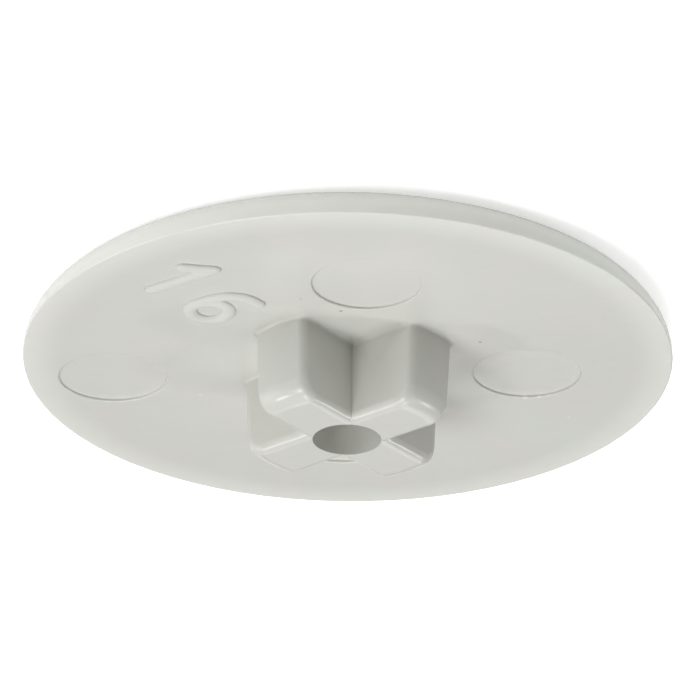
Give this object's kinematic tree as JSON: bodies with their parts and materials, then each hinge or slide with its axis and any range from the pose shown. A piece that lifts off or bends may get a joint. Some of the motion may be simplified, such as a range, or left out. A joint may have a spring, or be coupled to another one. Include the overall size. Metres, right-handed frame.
{
  "type": "plastic hole plug",
  "caption": "Round plastic cover plug with a short cross-shaped stem that presses into a screw's cross recess and hides the screw head.",
  "frame": {"origin": "the point where the stem's axis meets the seat, the face of the disc that lies on the screw head", "axes": "+Z along the stem, away from the disc; the crown faces -Z; the bearing of the first stem arm is 39 degrees from +X"},
  "size_m": [0.012, 0.012, 0.0023],
  "materials": {
    "plug_plastic": "light warm grey moulded plastic, satin, faintly translucent at thin edges"
  },
  "bodies": {
    "root": {"hole_plug": "plug_plastic"}
  },
  "joints": []
}
